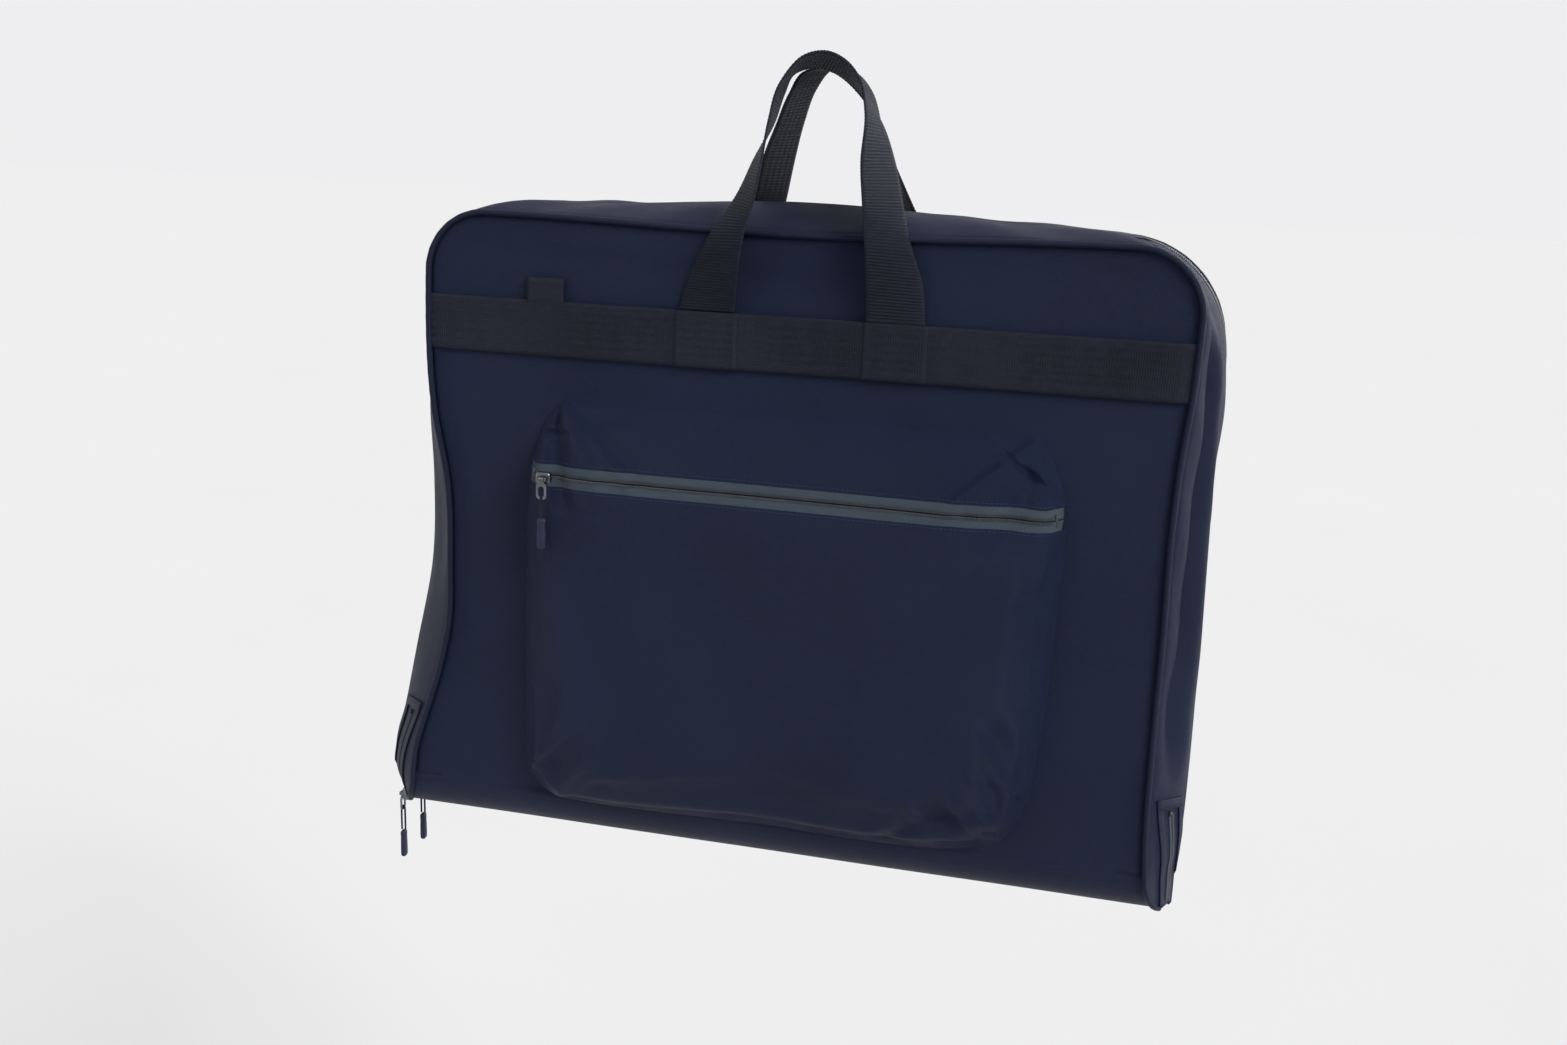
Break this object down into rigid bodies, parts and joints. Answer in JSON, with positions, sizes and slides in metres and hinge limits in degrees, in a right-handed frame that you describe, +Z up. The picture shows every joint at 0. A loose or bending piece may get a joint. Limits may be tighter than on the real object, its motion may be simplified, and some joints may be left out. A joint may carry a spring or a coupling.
{
  "type": "garment bag",
  "caption": "Bifold garment bag in padded cloth with two webbing handles, a zipped front pocket and a zipped lid on its rear half.",
  "frame": {"origin": "top of the rail that the two handle loops hang over", "axes": "+X to the right of someone facing the pocket, +Y from the pocket side to the lid side, +Z up"},
  "size_m": [0.6318, 0.1194, 0.6541],
  "materials": {
    "shell": "matte dark navy woven nylon over a thin padding",
    "piping": "the shell cloth sewn over a cord",
    "webbing": "ribbed charcoal navy webbing",
    "lining": "smooth dark lining cloth",
    "zip_tape": "slate green woven zip tape",
    "zip_coil": "dark moulded nylon coil",
    "metal": "dark gunmetal plating, satin",
    "cord": "braided navy cord",
    "tab": "moulded navy rubber",
    "elastic": "ribbed black elastic",
    "mesh": "dark net and bound edge"
  },
  "bodies": {
    "front_half": {"front_panel": "shell", "front_gusset_left": "shell", "front_gusset_top": "shell", "front_gusset_right": "shell", "front_lining": "lining", "front_piping": "piping", "front_band": "webbing", "front_handle_ends": "webbing", "side_tab": "webbing", "front_zip_tapes": "zip_tape", "front_zip_coils": "zip_coil", "zip_end_stops": "zip_coil", "pocket_lower": "shell", "pocket_upper": "shell", "pocket_tape_lower": "zip_tape", "pocket_tape_upper": "zip_tape", "pocket_zip_coils": "zip_coil", "pocket_zip_stops": "zip_coil"},
    "front_handle": {"front_handle": "webbing"},
    "pocket_slider": {"pocket_slider": "metal"},
    "pocket_pull": {"pocket_puller": "metal", "pocket_pull_cord": "cord", "pocket_pull_tab": "tab"},
    "front_slider": {"front_slider": "metal"},
    "front_pull": {"front_puller": "metal", "front_pull_cord": "cord", "front_pull_tab": "tab"},
    "rear_half": {"fold_panel": "shell", "fold_piping": "piping", "fold_zip_tape": "zip_tape", "fold_zip_coil": "zip_coil", "rear_gusset_left": "shell", "rear_gusset_top": "shell", "rear_gusset_right": "shell", "rear_lining": "lining", "tray_zip_tape": "zip_tape", "tray_zip_coil": "zip_coil", "hanger_tab": "webbing", "upper_elastic_band": "elastic", "lower_elastic_band": "elastic"},
    "rear_slider": {"rear_slider": "metal"},
    "rear_pull": {"rear_puller": "metal", "rear_pull_cord": "cord", "rear_pull_tab": "tab"},
    "hanger_ring": {"hanger_ring": "metal"},
    "lid": {"rear_panel": "shell", "rear_piping": "piping", "lid_gusset_left": "shell", "lid_gusset_top": "shell", "lid_gusset_right": "shell", "lid_zip_tape": "zip_tape", "lid_zip_coil": "zip_coil", "rear_band": "webbing", "rear_handle_ends": "webbing", "mesh_pocket": "mesh", "mesh_binding": "mesh"},
    "rear_handle": {"rear_handle": "webbing"}
  },
  "joints": [
    {"name": "fold", "type": "hinge", "parent": "front_half", "child": "rear_half", "pos_m": [0, 0, -0.595], "axis": [-1, 0, 0], "range_deg": [0, 180]},
    {"name": "lid_opening", "type": "hinge", "parent": "rear_half", "child": "lid", "pos_m": [0, 0.0414, -0.553], "axis": [-1, 0, 0], "range_deg": [0, 150]},
    {"name": "front_handle_swing", "type": "hinge", "parent": "front_half", "child": "front_handle", "pos_m": [0, -0.0414, -0.1688], "axis": [1, 0, 0], "range_deg": [0, 150]},
    {"name": "rear_handle_swing", "type": "hinge", "parent": "lid", "child": "rear_handle", "pos_m": [0, 0.0414, -0.1688], "axis": [-1, 0, 0], "range_deg": [0, 160]},
    {"name": "pocket_zip", "type": "slide", "parent": "front_half", "child": "pocket_slider", "axis": [1, 0, 0], "range_m": [0, 0.358]},
    {"name": "pocket_pull_swing", "type": "hinge", "parent": "pocket_slider", "child": "pocket_pull", "pos_m": [-0.179, -0.0706, -0.295], "axis": [-1, 0, 0], "range_deg": [0, 150]},
    {"name": "front_main_zip", "type": "slide", "parent": "front_half", "child": "front_slider", "axis": [0.1317, -0.1601, 0.9783], "range_m": [0, 0.0736]},
    {"name": "front_pull_swing", "type": "hinge", "parent": "front_slider", "child": "front_pull", "pos_m": [-0.33162, -0.005, -0.593], "axis": [0, 1, 0], "range_deg": [0, 150]},
    {"name": "rear_main_zip", "type": "slide", "parent": "rear_half", "child": "rear_slider", "axis": [0.0569, 0.0218, 0.9981], "range_m": [0, 0.4158]},
    {"name": "rear_pull_swing", "type": "hinge", "parent": "rear_slider", "child": "rear_pull", "pos_m": [-0.32543, 0.0185, -0.587], "axis": [0, 1, 0], "range_deg": [0, 150]},
    {"name": "hanger_ring_swing", "type": "hinge", "parent": "rear_half", "child": "hanger_ring", "pos_m": [0, 0.0054, -0.144], "axis": [1, 0, 0], "range_deg": [0, 60]}
  ]
}
